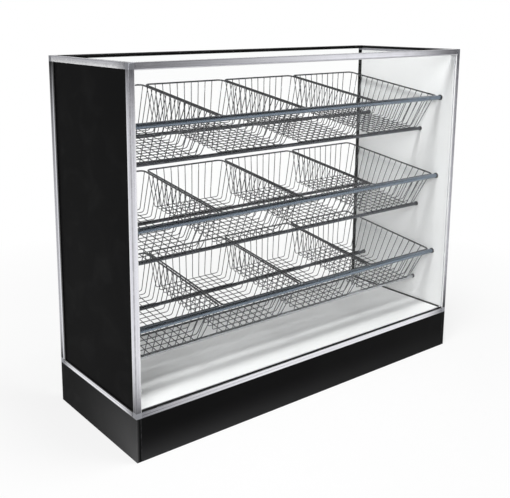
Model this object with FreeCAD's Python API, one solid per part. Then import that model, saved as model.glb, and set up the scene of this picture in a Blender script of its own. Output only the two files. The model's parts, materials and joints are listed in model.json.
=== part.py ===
import FreeCAD, Part
import math
import os

# A free-standing bakery display case: a boarded plinth, an aluminium frame glazed at the front and
# top, panelled ends, and three rows of loose wire baskets that pull out through the open back.
# Millimetres. X runs along the width, Y from front to back, Z up.
# The origin is on the floor, under the middle of the case and of the baskets that reach past its back.

# Overall size
case_width = 1473.0
case_depth = 510.0
case_height = 1210.0

# Plinth: boards on edge, battens and braces that carry the deck, glue blocks in the corners
plinth_height = 143.0
plinth_board = 16.0
batten_width = 20.0
batten_height = 30.0
brace_count = 2
floor_gap = 10.0
glue_block_leg = 45.0

# Frame extrusion: a square section with a slot in each face that holds a panel
frame_size = 19.0
frame_wall = 1.6
frame_edge_radius = 1.2
slot_lip = 3.0
slot_width = 7.0
slot_depth = 8.0
line_groove_width = 1.4
line_groove_depth = 0.7
header_lip = 2.0

# Corner blocks: a cube with a peg into the hollow of each member that it joins
peg_length = 25.0
peg_clearance = 0.1

# Glazing, end walls and seals
glass_thickness = 5.0
glass_edge_cushion = 1.0
gasket_stand = 3.0
panel_clearance = 0.3
liner_thickness = 9.0
rear_trim_width = 15.0
seal_size = 5.0

# Rails and support tubes, with the cups that hold their ends
front_rail_diameter = 17.0
support_diameter = 13.0
tube_wall = 1.2
socket_base = 2.0
socket_depth = 3.0
socket_wall = 2.0
socket_clearance = 0.1
screw_diameter = 3.5
screw_length = 10.0
screw_head_diameter = 7.0
screw_head_height = 2.0

# Places of the rows
row_names = ("top", "middle", "bottom")
baskets_per_row = 4
rail_setback = 68.0
top_rail_drop = 190.0
bottom_rail_rise = 229.0

# Baskets: sizes are square to the tilted rim
basket_tilt = 8.2
basket_depth = 145.0
basket_length = 478.0
basket_gap = 6.0
basket_end_clearance = 1.3
basket_seat_gap = 0.3
front_taper = 44.0
rear_taper = 25.0
side_taper = 28.0
rim_wire = 6.0
wall_wire = 3.0
rail_below_rim = 7.0
cross_gaps = 10
length_gaps = 15
front_support_inset = 18.0
rear_support_inset = 111.0

# Levels and faces that several pieces share
half_width = case_width / 2
half_depth = case_depth / 2
deck_top = plinth_height + frame_size
slot_floor = frame_size - slot_depth
glass_edge = slot_floor + glass_edge_cushion
header_height = slot_lip + slot_width + header_lip
panel_outer = slot_lip + panel_clearance
panel_inner = slot_lip + slot_width - panel_clearance
wall_inner = panel_inner + liner_thickness
wall_x = half_width - wall_inner
socket_length = socket_base + socket_depth
row_spacing = (case_height - top_rail_drop - deck_top - bottom_rail_rise) / (len(row_names) - 1)

# Basket sizes that follow from the case around it
tilt = math.radians(basket_tilt)
row_free_width = 2 * (wall_x - socket_length - basket_end_clearance)
rim_width = (row_free_width - (baskets_per_row - 1) * basket_gap) / baskets_per_row
rail_ahead_of_rim = front_rail_diameter / 2 + basket_seat_gap
rim_front_y = (-half_depth + rail_setback + rail_ahead_of_rim * math.cos(tilt)
               - rail_below_rim * math.sin(tilt))
support_level = -basket_depth - basket_seat_gap - support_diameter / 2
rear_reach = max(half_depth, rim_front_y + basket_length * math.cos(tilt) + rim_wire * math.sin(tilt))
middle_y = (rear_reach - half_depth) / 2

right = FreeCAD.Vector(1, 0, 0)
back = FreeCAD.Vector(0, 1, 0)
up = FreeCAD.Vector(0, 0, 1)
SIDES = ((-1, "left"), (1, "right"))


def box(low, high):
    """Block between two opposite corners, given in any order."""
    start = [min(pair) for pair in zip(low, high)]
    size = [abs(a - b) for a, b in zip(low, high)]
    return Part.makeBox(*size, FreeCAD.Vector(*start))


def rod(start, direction, length, diameter):
    """Solid round bar from a point along a direction."""
    return Part.makeCylinder(diameter / 2, length, start, direction)


def rounded_wire(points, radius, rounded):
    """Closed flat wire through the points, with an arc at each corner whose index is in rounded."""
    edges = []
    starts, ends = [], []
    for index, point in enumerate(points):
        if index not in rounded:
            starts.append(point)
            ends.append(point)
            continue
        to_last = (points[index - 1] - point).normalize()
        to_next = (points[(index + 1) % len(points)] - point).normalize()
        half_turn = to_last.getAngle(to_next) / 2
        tangent = radius / math.tan(half_turn)
        bisector = (to_last + to_next).normalize()
        middle = point + bisector * (radius / math.sin(half_turn) - radius)
        starts.append(point + to_last * tangent)
        ends.append(point + to_next * tangent)
        edges.append(Part.Arc(starts[-1], middle, ends[-1]).toShape())
    for index in range(len(points)):
        edges.append(Part.makeLine(ends[index - 1], starts[index]))
    return Part.Wire(Part.__sortEdges__(edges))


def plate(outline, gaps, thickness):
    """Flat plate: an outline with gaps cut through it, thickened along a vector."""
    wires = [Part.makePolygon(points + points[:1]) for points in [outline] + gaps]
    face = Part.makeFace(wires, "Part::FaceMakerBullseye")
    return face.extrude(thickness)


# Plinth


def plinth_boards():
    """Two end boards over the full depth, with the front and rear boards between them."""
    inner_x = half_width - plinth_board
    inner_y = half_depth - plinth_board
    boards = {}
    for side, name in SIDES:
        boards["plinth_" + name] = box(
            (side * inner_x, -half_depth, 0), (side * half_width, half_depth, plinth_height))
    for side, name in ((-1, "front"), (1, "rear")):
        boards["plinth_" + name] = box(
            (-inner_x, side * inner_y, 0), (inner_x, side * half_depth, plinth_height))
    return boards


def plinth_battens():
    """Battens round the inside of the plinth, level with its top, that the deck's edges lie on."""
    x = half_width - plinth_board
    y = half_depth - plinth_board
    low = plinth_height - batten_height
    battens = []
    for side in (-1, 1):
        battens.append(box((-x, side * (y - batten_width), low), (x, side * y, plinth_height)))
        battens.append(box((side * (x - batten_width), batten_width - y, low),
                           (side * x, y - batten_width, plinth_height)))
    return Part.makeCompound(battens)


def plinth_braces():
    """Boards from front to back under the deck, evenly spaced along the width."""
    y = half_depth - plinth_board - batten_width
    pitch = case_width / (brace_count + 1)
    braces = []
    for index in range(brace_count):
        middle = -half_width + pitch * (index + 1)
        braces.append(box((middle - plinth_board / 2, -y, floor_gap),
                          (middle + plinth_board / 2, y, plinth_height)))
    return Part.makeCompound(braces)


def plinth_glue_blocks():
    """Three-cornered blocks glued into the plinth's corners, under the battens."""
    height = plinth_height - batten_height - floor_gap
    blocks = []
    for side, _ in SIDES:
        for end in (-1, 1):
            x = side * (half_width - plinth_board)
            y = end * (half_depth - plinth_board)
            corner = FreeCAD.Vector(x, y, floor_gap)
            legs = [corner, corner - right * side * glue_block_leg, corner - back * end * glue_block_leg]
            blocks.append(plate(legs, [], up * height))
    return Part.makeCompound(blocks)


def deck():
    """White deck board between the bottom rails, level with their tops."""
    x = half_width - frame_size
    y = half_depth - frame_size
    return box((-x, -y, plinth_height), (x, y, deck_top))


def deck_seals():
    """Strip in the corner between the deck and each end wall."""
    y = half_depth - frame_size
    return Part.makeCompound([
        box((side * (wall_x - seal_size), -y, deck_top), (side * wall_x, y, deck_top + seal_size))
        for side, _ in SIDES])


# Frame


def frame_section(slot_a, slot_b):
    """Face of the extrusion with its outer edge at the origin; slot a opens along x, slot b along y."""
    size = frame_size
    line_low = (size - line_groove_width) / 2
    line_high = (size + line_groove_width) / 2
    slot_end = slot_lip + slot_width
    points = [(0, 0), (line_low, 0), (line_low, line_groove_depth), (line_high, line_groove_depth),
              (line_high, 0), (size, 0)]
    if slot_a:
        points += [(size, slot_lip), (slot_floor, slot_lip), (slot_floor, slot_end), (size, slot_end)]
    points.append((size, size))
    if slot_b:
        points += [(slot_end, size), (slot_end, slot_floor), (slot_lip, slot_floor), (slot_lip, size)]
    points += [(0, size), (0, line_high), (line_groove_depth, line_high), (line_groove_depth, line_low),
               (0, line_low)]
    corners = [index for index, (x, y) in enumerate(points) if x in (0, size) and y in (0, size)]
    outer = rounded_wire([FreeCAD.Vector(x, y, 0) for x, y in points], frame_edge_radius, corners)
    hollows = ((frame_wall, slot_floor - frame_wall), (slot_end + frame_wall, size - frame_wall))
    wires = [outer]
    for low, high in hollows:
        square = [FreeCAD.Vector(x, y, 0) for x, y in ((low, low), (high, low), (high, high), (low, high))]
        wires.append(Part.makePolygon(square + square[:1]))
    return Part.makeFace(wires, "Part::FaceMakerBullseye")


def frame_member(start, across, inward, length, slot_a=True, slot_b=True):
    """Extrusion from the start of its outer edge; its section's x and y are across and inward."""
    along = across.cross(inward)
    member = frame_section(slot_a, slot_b).extrude(up * length)
    member.Placement = FreeCAD.Placement(FreeCAD.Matrix(
        across.x, inward.x, along.x, start[0],
        across.y, inward.y, along.y, start[1],
        across.z, inward.z, along.z, start[2],
        0, 0, 0, 1))
    return member


def frame_members():
    """Posts and rails between the corner blocks, all with their slots towards the panels."""
    low = plinth_height
    post_low = plinth_height + frame_size
    post_length = case_height - plinth_height - 2 * frame_size
    width = case_width - 2 * frame_size
    depth = case_depth - 2 * frame_size
    left_x = -half_width + frame_size
    front_y = -half_depth + frame_size
    return {
        "front_post_left": frame_member((-half_width, -half_depth, post_low), right, back, post_length),
        "front_post_right": frame_member((half_width, -half_depth, post_low), back, -right, post_length),
        "rear_post_left": frame_member(
            (-half_width, half_depth, post_low), -back, right, post_length, slot_b=False),
        "rear_post_right": frame_member(
            (half_width, half_depth, post_low), -right, -back, post_length, slot_a=False),
        "top_rail_front": frame_member((left_x, -half_depth, case_height), -up, back, width),
        "top_rail_left": frame_member((-half_width, front_y, case_height), right, -up, depth),
        "top_rail_right": frame_member((half_width, front_y, case_height), -up, -right, depth),
        "bottom_rail_front": frame_member((left_x, -half_depth, low), back, up, width, slot_a=False),
        "bottom_rail_left": frame_member((-half_width, front_y, low), up, right, depth, slot_b=False),
        "bottom_rail_right": frame_member((half_width, front_y, low), -right, up, depth, slot_a=False),
        "rear_sill": frame_member((left_x, half_depth, low), up, -back, width, False, False),
        "rear_header": rear_header(left_x, width),
    }


def rear_header(start_x, length):
    """Slim channel along the top of the open back; its slot holds the top glass's rear edge."""
    top = case_height
    front = half_depth - frame_size
    slot_back = front + slot_depth
    slot_top = top - slot_lip
    slot_bottom = slot_top - slot_width
    bottom = top - header_height
    section = [(front, bottom), (half_depth, bottom), (half_depth, top), (front, top),
               (front, slot_top), (slot_back, slot_top), (slot_back, slot_bottom), (front, slot_bottom)]
    hollow = [(slot_back + frame_wall, bottom + frame_wall), (half_depth - frame_wall, bottom + frame_wall),
              (half_depth - frame_wall, top - frame_wall), (slot_back + frame_wall, top - frame_wall)]
    outline, gap = [[FreeCAD.Vector(start_x, y, z) for y, z in ring] for ring in (section, hollow)]
    return plate(outline, [gap], right * length)


def corner_block(side, end, is_top):
    """Cube where three members meet, pocketed for the panel corners, with a peg into each member."""
    def inward_box(low, high):
        """Block given by its distances inward from the corner's three outer faces."""
        corners = []
        for a, b, c in (low, high):
            z = case_height - c if is_top else plinth_height + c
            corners.append((side * (half_width - a), end * (half_depth - b), z))
        return box(*corners)

    size = frame_size
    cube = inward_box((0, 0, 0), (size, size, size))
    outer = FreeCAD.Vector(side * half_width, end * half_depth, case_height if is_top else plinth_height)
    outer_edges = [edge for edge in cube.Edges
                   if any(vertex.Point.isEqual(outer, frame_wall / 2) for vertex in edge.Vertexes)]
    block = cube.makeFillet(frame_edge_radius, outer_edges)
    slot_end = slot_lip + slot_width
    pockets = [inward_box((slot_lip, slot_floor, slot_floor), (slot_end, size, size))]
    if end < 0:
        pockets.append(inward_box((slot_floor, slot_lip, slot_floor), (size, slot_end, size)))
    if is_top:
        pockets.append(inward_box((slot_floor, slot_floor, slot_lip), (size, size, slot_end)))
    low = frame_wall + peg_clearance
    high = slot_floor - frame_wall - peg_clearance
    reach = size + peg_length
    pegs = [inward_box((size, low, low), (reach, high, high)),
            inward_box((low, size, low), (high, reach, high)),
            inward_box((low, low, size), (high, high, reach))]
    return block.cut(pockets).fuse(pegs).removeSplitter()


def corner_blocks(end):
    """The four corner blocks of the frame's front (end -1) or rear (end 1)."""
    return Part.makeCompound([
        corner_block(side, end, is_top) for side, _ in SIDES for is_top in (False, True)])


# Glazing and end walls


def glazing():
    """Front and top glass, each in a gasket that fills the slots and stands proud of the rails.

    The proud lip of the top gasket reaches up to the top of the rails.
    """
    glass_inset = slot_lip + (slot_width - glass_thickness) / 2
    stand = frame_size + gasket_stand
    pieces = {}

    def front_box(end, edge, near, far):
        """Block in the front panel's plane, its ends and edges set in from the frame's outer faces."""
        return box((end - half_width, near - half_depth, plinth_height + edge),
                   (half_width - end, far - half_depth, case_height - edge))

    def top_box(end, edge, near, far):
        """Block in the top panel's plane, its ends and edges set in from the frame's outer faces."""
        return box((end - half_width, edge - half_depth, case_height - far),
                   (half_width - end, half_depth - edge, case_height - near))

    slot_end = slot_lip + slot_width
    panels = (("front", front_box, frame_size, slot_lip), ("top", top_box, stand, 0))
    for name, panel_box, end_stand, lip_top in panels:
        glass = panel_box(glass_edge, glass_edge, glass_inset, glass_inset + glass_thickness)
        ring = panel_box(slot_floor, slot_floor, slot_lip, slot_end)
        lip = panel_box(frame_size, frame_size, lip_top, slot_end)
        opening = panel_box(end_stand, stand, lip_top, slot_end)
        pieces[name + "_glass"] = glass
        pieces[name + "_gasket"] = ring.fuse(lip).cut([opening, glass]).removeSplitter()
    return pieces


def end_walls():
    """Black outer panel, aluminium strip at its rear edge and white inner liner of each end."""
    low = plinth_height
    pieces = {}
    for side, name in SIDES:
        def layer(near, far, front, rear, edge):
            """Board between two distances from the end's outer face."""
            return box((side * (half_width - near), front - half_depth, low + edge),
                       (side * (half_width - far), half_depth - rear, case_height - edge))

        pieces["end_panel_" + name] = layer(panel_outer, panel_inner, slot_floor, slot_floor, slot_floor)
        trim_front = case_depth - frame_size - rear_trim_width
        pieces["rear_trim_" + name] = layer(0, panel_outer, trim_front, frame_size, frame_size)
        liner = layer(panel_inner, wall_inner, frame_size, frame_size, frame_size)
        shanks = [screw_shank(side, centre) for centre in all_tube_centres()]
        pieces["end_liner_" + name] = liner.cut(shanks)
    return pieces


# Rails and support tubes


def basket_point(row, y, z):
    """Y and Z in the case of a point given square to a row's rim, from the rim's top front edge."""
    rail_z = case_height - top_rail_drop - row * row_spacing
    rim_z = rail_z + rail_ahead_of_rim * math.sin(tilt) + rail_below_rim * math.cos(tilt)
    return (rim_front_y + y * math.cos(tilt) - z * math.sin(tilt),
            rim_z + y * math.sin(tilt) + z * math.cos(tilt))


def front_rail_centre(row):
    """Y and Z of a row's front rail."""
    return basket_point(row, -rail_ahead_of_rim, -rail_below_rim)


def support_centres(row):
    """Y and Z of the two tubes that a row's basket bottoms lie on, front one first."""
    return (basket_point(row, front_taper + front_support_inset, support_level),
            basket_point(row, basket_length - rear_taper - rear_support_inset, support_level))


def all_tube_centres():
    """Y and Z of every tube: each row's front rail, front support and rear support."""
    centres = []
    for row in range(len(row_names)):
        centres += [front_rail_centre(row), *support_centres(row)]
    return centres


def tube(centre, diameter):
    """Hollow tube from socket to socket."""
    length = 2 * (wall_x - socket_base)
    start = FreeCAD.Vector(-length / 2, *centre)
    bore = rod(start, right, length, diameter - 2 * tube_wall)
    return rod(start, right, length, diameter).cut(bore)


def screw_shank(side, centre):
    """Shank of the screw that holds a tube's socket, from the socket's seat into the end wall."""
    start = FreeCAD.Vector(side * (wall_x - socket_base), *centre)
    return rod(start, right * side, screw_length, screw_diameter)


def socket_screw(side, centre):
    """Pan-head screw inside a tube's end."""
    start = FreeCAD.Vector(side * (wall_x - socket_base), *centre)
    head = rod(start, -right * side, screw_head_height, screw_head_diameter)
    return screw_shank(side, centre).fuse(head).removeSplitter()


def socket(side, centre, diameter):
    """Round cup on the end wall that a tube's end stands in."""
    start = FreeCAD.Vector(side * wall_x, *centre)
    seat = start - right * side * socket_base
    cup = rod(start, -right * side, socket_length, diameter + 2 * (socket_clearance + socket_wall))
    bore = rod(seat, -right * side, socket_depth, diameter + 2 * socket_clearance)
    return cup.cut([bore, screw_shank(side, centre)])


def rails():
    """Front rails, support tubes, their sockets and the sockets' screws."""
    pieces = {}
    rail_sockets, support_sockets, screws = [], [], []
    for row, name in enumerate(row_names):
        rail = front_rail_centre(row)
        supports = support_centres(row)
        pieces["front_rail_" + name] = tube(rail, front_rail_diameter)
        for place, centre in zip(("front", "rear"), supports):
            pieces[place + "_support_" + name] = tube(centre, support_diameter)
        for side, _ in SIDES:
            rail_sockets.append(socket(side, rail, front_rail_diameter))
            support_sockets += [socket(side, centre, support_diameter) for centre in supports]
            screws += [socket_screw(side, centre) for centre in (rail, *supports)]
    pieces["front_rail_sockets"] = Part.makeCompound(rail_sockets)
    pieces["support_sockets"] = Part.makeCompound(support_sockets)
    pieces["socket_screws"] = Part.makeCompound(screws)
    return pieces


# Baskets


def wall_grille(top_start, top_end, bottom_start, bottom_end, gap_count):
    """Sloping wall of upright wires, and its blank, between the rim and the bottom edge."""
    slope = ((bottom_start + bottom_end) - (top_start + top_end)).Length / 2

    def wire_gap(index, drop):
        """Two edge points of a gap between wires, at a share of the way down the wall."""
        start = top_start + (bottom_start - top_start) * drop
        end = top_end + (bottom_end - top_end) * drop
        run = (end - start).Length
        along = (end - start).normalize()
        pitch = (run - wall_wire) / gap_count
        return [start + along * (wall_wire + index * pitch), start + along * ((index + 1) * pitch)]

    high = rim_wire / 2 / slope
    low = 1 - wall_wire / slope
    gaps = [wire_gap(index, high) + wire_gap(index, low)[::-1] for index in range(gap_count)]
    outline = [top_start, top_end, bottom_end, bottom_start]
    normal = (top_end - top_start).cross(bottom_start - top_start).normalize()
    inward = normal * wall_wire
    return plate(outline, gaps, inward), plate(outline, [], inward)


def bottom_grid(low, high):
    """Flat grid of crossing wires between two opposite corners of the basket's underside."""
    pitch_x = (high.x - low.x - wall_wire) / cross_gaps
    pitch_y = (high.y - low.y - wall_wire) / length_gaps

    def rectangle(x0, y0, x1, y1):
        """Four corners at the level of the underside."""
        return [FreeCAD.Vector(x, y, low.z) for x, y in ((x0, y0), (x1, y0), (x1, y1), (x0, y1))]

    gaps = [rectangle(low.x + wall_wire + i * pitch_x, low.y + wall_wire + j * pitch_y,
                      low.x + (i + 1) * pitch_x, low.y + (j + 1) * pitch_y)
            for i in range(cross_gaps) for j in range(length_gaps)]
    return plate(rectangle(low.x, low.y, high.x, high.y), gaps, up * wall_wire)


def basket():
    """Welded wire basket, square to its rim: four walls that carry the rim, and a bottom grid."""
    rim_x = rim_width / 2
    wall_top = -rim_wire / 2
    bottom = -basket_depth

    def ring(z):
        """Four outer corners of the sloping walls at a level, from front left, anticlockwise."""
        share = -z / basket_depth
        x = rim_x - side_taper * share
        front = front_taper * share
        rear = basket_length - rear_taper * share
        return [FreeCAD.Vector(*corner, z) for corner in ((-x, front), (x, front), (x, rear), (-x, rear))]

    top_ring, bottom_ring = ring(wall_top), ring(bottom)
    gap_counts = (cross_gaps, length_gaps, cross_gaps, length_gaps)
    grilles, blanks = [], []
    for index, gap_count in enumerate(gap_counts):
        following = (index + 1) % len(gap_counts)
        grille, blank = wall_grille(top_ring[index], top_ring[following],
                                    bottom_ring[index], bottom_ring[following], gap_count)
        grilles.append(grille)
        blanks.append(blank)
    front, right_wall, rear, left_wall = grilles
    side_rims = [box((side * (rim_x - rim_wire), 0, -rim_wire), (side * rim_x, basket_length, 0))
                 for side, _ in SIDES]
    between_sides = rim_x - rim_wire
    end_rims = [box((-between_sides, y, -rim_wire), (between_sides, y + rim_wire, 0))
                for y in (0, basket_length - rim_wire)]
    side_blanks = [blanks[1], blanks[3]]
    solids = [wall.fuse(rim).removeSplitter() for wall, rim in zip((left_wall, right_wall), side_rims)]
    for wall, rim in zip((front, rear), end_rims):
        solids.append(wall.cut(side_blanks + side_rims).fuse(rim).removeSplitter())
    grid = bottom_grid(bottom_ring[0], bottom_ring[2])
    solids.append(grid.cut(blanks))
    return Part.makeCompound(solids)


def baskets():
    """Every row's baskets, named from left to right, each resting in its place."""
    pattern = basket()
    pattern.rotate(FreeCAD.Vector(0, 0, 0), right, basket_tilt)
    pitch = rim_width + basket_gap
    first_x = -pitch * (baskets_per_row - 1) / 2
    pieces = {}
    for row, name in enumerate(row_names):
        for place in range(baskets_per_row):
            one = pattern.copy()
            one.translate(FreeCAD.Vector(first_x + place * pitch, *basket_point(row, 0, 0)))
            pieces["basket_%s_%d" % (name, place + 1)] = one
    return pieces


def main():
    """Build every piece and write each one to its own file."""
    pieces = plinth_boards()
    pieces["plinth_battens"] = plinth_battens()
    pieces["plinth_braces"] = plinth_braces()
    pieces["plinth_glue_blocks"] = plinth_glue_blocks()
    pieces["deck"] = deck()
    pieces["deck_seals"] = deck_seals()
    pieces.update(frame_members())
    pieces["front_corner_blocks"] = corner_blocks(-1)
    pieces["rear_corner_blocks"] = corner_blocks(1)
    pieces.update(glazing())
    pieces.update(end_walls())
    pieces.update(rails())
    pieces.update(baskets())
    os.makedirs("parts", exist_ok=True)
    for name, shape in pieces.items():
        shape.translate(back * -middle_y)
        shape.exportStep("parts/%s.step" % name)
        print(name, len(shape.Solids), "solids", round(shape.Volume), "mm3", "valid", shape.isValid())


main()
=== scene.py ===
import json
import logging
import math
from dataclasses import dataclass, replace
from enum import Enum
from functools import partial, reduce
from typing import Callable, Dict, List, Optional, Sequence, Tuple, Union

import bpy
import numpy as np
from mathutils import Euler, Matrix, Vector


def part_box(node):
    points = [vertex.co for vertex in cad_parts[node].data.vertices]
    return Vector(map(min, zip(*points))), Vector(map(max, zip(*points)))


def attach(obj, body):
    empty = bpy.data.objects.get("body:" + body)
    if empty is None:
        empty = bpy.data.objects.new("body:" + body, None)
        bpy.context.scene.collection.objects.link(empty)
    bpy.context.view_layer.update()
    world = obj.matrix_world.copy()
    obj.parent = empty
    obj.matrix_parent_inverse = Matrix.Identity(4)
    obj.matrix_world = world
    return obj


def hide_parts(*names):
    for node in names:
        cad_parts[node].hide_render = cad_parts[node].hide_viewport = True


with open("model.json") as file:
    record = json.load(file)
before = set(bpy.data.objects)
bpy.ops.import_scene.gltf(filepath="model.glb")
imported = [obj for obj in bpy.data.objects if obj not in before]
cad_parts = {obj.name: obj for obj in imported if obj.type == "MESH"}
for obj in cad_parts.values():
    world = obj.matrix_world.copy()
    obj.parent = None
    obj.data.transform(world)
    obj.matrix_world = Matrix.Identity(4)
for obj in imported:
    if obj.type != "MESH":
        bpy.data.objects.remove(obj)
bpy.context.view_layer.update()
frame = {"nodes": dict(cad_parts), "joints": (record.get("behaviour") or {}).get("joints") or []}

LOG = logging.getLogger("display_case")
CASE_BODY = "case"

Colour = Tuple[float, float, float]
Point = Tuple[float, float, float]
Material = bpy.types.Material
Node = bpy.types.Node
Socket = bpy.types.NodeSocket
Sockets = Dict[str, Socket]
Feed = Union[Socket, float, Sequence[float]]


class Axis(Enum):
    """Direction in which a piece was drawn, extruded or sawn."""

    X = 0
    Y = 1
    Z = 2

    def vector(self, along: float, across: float) -> List[float]:
        """Vector with one value along this axis, and another along the other two."""
        return [along if axis is self else across for axis in Axis]


class End(Enum):
    """One of the two ends of a box along an axis."""

    LOW = 0
    HIGH = 1

    def sign(self) -> int:
        """-1 for the low end and 1 for the high end."""
        return 2 * self.value - 1


class SocketKind(Enum):
    """Kind of value that a socket of a shared effect carries."""

    VALUE = "NodeSocketFloat"
    VECTOR = "NodeSocketVector"


# Surfaces

# Points that agree to this many decimals of a metre are one point
MERGE_DECIMALS = 7


@dataclass
class Patch:
    """Points and faces of one surface.

    Attributes:
        points: Array of (points, 3) places in metres.
        faces: Arrays of (faces, corners) point numbers, one array for each number of corners.
    """

    points: np.ndarray
    faces: List[np.ndarray]


def joined(patches: Sequence[Patch]) -> Patch:
    """Put several patches into one.

    Args:
        patches: Patches to join, in order.

    Returns:
        One patch, with each later patch's point numbers moved past the earlier points.
    """
    starts = np.cumsum([0] + [len(patch.points) for patch in patches[:-1]])
    faces = [ring + start for patch, start in zip(patches, starts) for ring in patch.faces]
    return Patch(np.concatenate([patch.points for patch in patches]), faces)


def unit(vectors: np.ndarray) -> np.ndarray:
    """Vectors along the last axis, scaled to a length of one."""
    return vectors / np.linalg.norm(vectors, axis=-1, keepdims=True)


def tubes_along(paths: np.ndarray, radius: float, sides: int, keel: Point, closed: bool) -> Patch:
    """Round tubes along paths.

    A path point p gets the ring p + r (u cos a + v sin a). The tangent t runs from the point before p
    to the point after it, u is the keel made square to t, and v is t cross u.

    Args:
        paths: Array of (tubes, points, 3) path points.
        radius: Radius r of the tubes.
        sides: Number of angles a round a ring.
        keel: Direction that no path runs along.
        closed: Whether each path comes back to its start. An open tube gets two flat ends.

    Returns:
        All the tubes as one patch.
    """
    count, length, _ = paths.shape
    if closed:
        tangents = unit(np.roll(paths, -1, axis=1) - np.roll(paths, 1, axis=1))
    else:
        tangents = unit(np.gradient(paths, axis=1))
    upward = np.asarray(keel, float)
    u = unit(upward - tangents * (tangents @ upward)[..., None])
    v = np.cross(tangents, u)
    angle = np.linspace(0, 2 * np.pi, sides, endpoint=False)[:, None]
    rings = paths[:, :, None] + radius * (u[:, :, None] * np.cos(angle) + v[:, :, None] * np.sin(angle))
    number = np.arange(count * length * sides).reshape(count, length, sides)
    edges = np.stack([number, np.roll(number, -1, axis=2)], axis=-1)
    here = edges if closed else edges[:, :-1]
    onward = np.roll(edges, -1, axis=1) if closed else edges[:, 1:]
    faces = [np.concatenate([here, onward[..., ::-1]], axis=-1).reshape(-1, 4)]
    if not closed:
        faces += [number[:, 0, ::-1], number[:, -1]]
    return Patch(rings.reshape(-1, 3), faces)


def bent_paths(corners: np.ndarray, setback: float, steps: int) -> np.ndarray:
    """Paths through corners, with a smooth bend at each inner corner.

    A bend is the curve (1 - s)² a + 2 s (1 - s) c + s² b, where c is the corner, and a and b lie a setback
    before and after it on the two runs.

    Args:
        corners: Array of (paths, corners, 3) points.
        setback: Distance from a corner at which its bend starts and ends.
        steps: Number of points on a bend.

    Returns:
        Array of (paths, points, 3) path points.
    """
    share = np.linspace(0, 1, steps)[:, None]
    c = corners[:, 1:-1]
    a = c + setback * unit(corners[:, :-2] - c)
    b = c + setback * unit(corners[:, 2:] - c)
    bends = ((1 - share) ** 2 * a[:, :, None] + 2 * share * (1 - share) * c[:, :, None]
             + share ** 2 * b[:, :, None])
    return np.concatenate([corners[:, :1], bends.reshape(len(corners), -1, 3), corners[:, -1:]], axis=1)


def eased_board(low: Vector, high: Vector, ease: float, steps: int) -> Patch:
    """Board with its edges and corners rounded over.

    Each face is a grid on the plain block. A grid point p has its nearest point q in the block shrunk by
    the ease, and moves to q plus the ease along the direction from q to p.

    Args:
        low: Lowest corner of the plain block.
        high: Highest corner of the plain block.
        ease: Radius of the rounding.
        steps: Number of grid steps over half a rounding.

    Returns:
        One closed patch.
    """
    low, high = np.array(low), np.array(high)
    rise = ease * (1 - np.tan(np.linspace(np.pi / 4, 0, steps + 1)))
    lines = [np.concatenate([low[k] + rise, high[k] - rise[::-1]]) for k in range(3)]
    size = len(rise) * 2
    number = np.arange(size * size).reshape(size, size)
    corners = [number[:-1, :-1], number[1:, :-1], number[1:, 1:], number[:-1, 1:]]
    quads = np.stack(corners, axis=-1).reshape(-1, 4)
    points, faces = [], []
    for side in range(6):
        k = side % 3
        across, along = (k + 1) % 3, (k + 2) % 3
        grid = np.empty((size, size, 3))
        grid[..., across], grid[..., along] = np.meshgrid(lines[across], lines[along], indexing="ij")
        grid[..., k] = high[k] if side < 3 else low[k]
        points.append(grid.reshape(-1, 3))
        faces.append((quads if side < 3 else quads[:, ::-1]) + side * size * size)
    plain = np.concatenate(points)
    core = np.clip(plain, low + ease, high - ease)
    rounded = core + ease * unit(plain - core)
    _, first, merged = np.unique(
        np.round(rounded, MERGE_DECIMALS), axis=0, return_index=True, return_inverse=True)
    return Patch(rounded[first], [merged.reshape(-1)[np.concatenate(faces)]])


def piece_from(name: str, patch: Patch, material: Material, smooth: bool) -> bpy.types.Object:
    """Make an object of the part from a patch.

    Args:
        name: Name of the piece.
        patch: Its surface, in the part's frame.
        material: Its finish.
        smooth: Whether its faces are shaded as one smooth surface.

    Returns:
        The new object, at the origin.
    """
    mesh = bpy.data.meshes.new(name)
    mesh.from_pydata(patch.points.tolist(), [], [face for ring in patch.faces for face in ring.tolist()])
    mesh.polygons.foreach_set("use_smooth", np.full(len(mesh.polygons), smooth))
    mesh.materials.append(material)
    mesh.update()
    piece = bpy.data.objects.new(name, mesh)
    bpy.context.scene.collection.objects.link(piece)
    LOG.info("built %s with %d faces", name, len(mesh.polygons))
    return piece


def dress(nodes: Sequence[str], material: Material) -> None:
    """Give CAD nodes a finish.

    Args:
        nodes: Names of the nodes.
        material: The finish for every slot of theirs.
    """
    for name in nodes:
        for slot in frame["nodes"][name].material_slots:
            slot.material = material
        LOG.info("dressed %s in %s", name, material.name)


# Shader nodes

def tinted(colour: Colour, share: float = 1.0) -> Tuple[float, float, float, float]:
    """Colour made lighter or darker by a share, with full alpha."""
    return tuple(min(1.0, part * share) for part in colour) + (1.0,)


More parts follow.
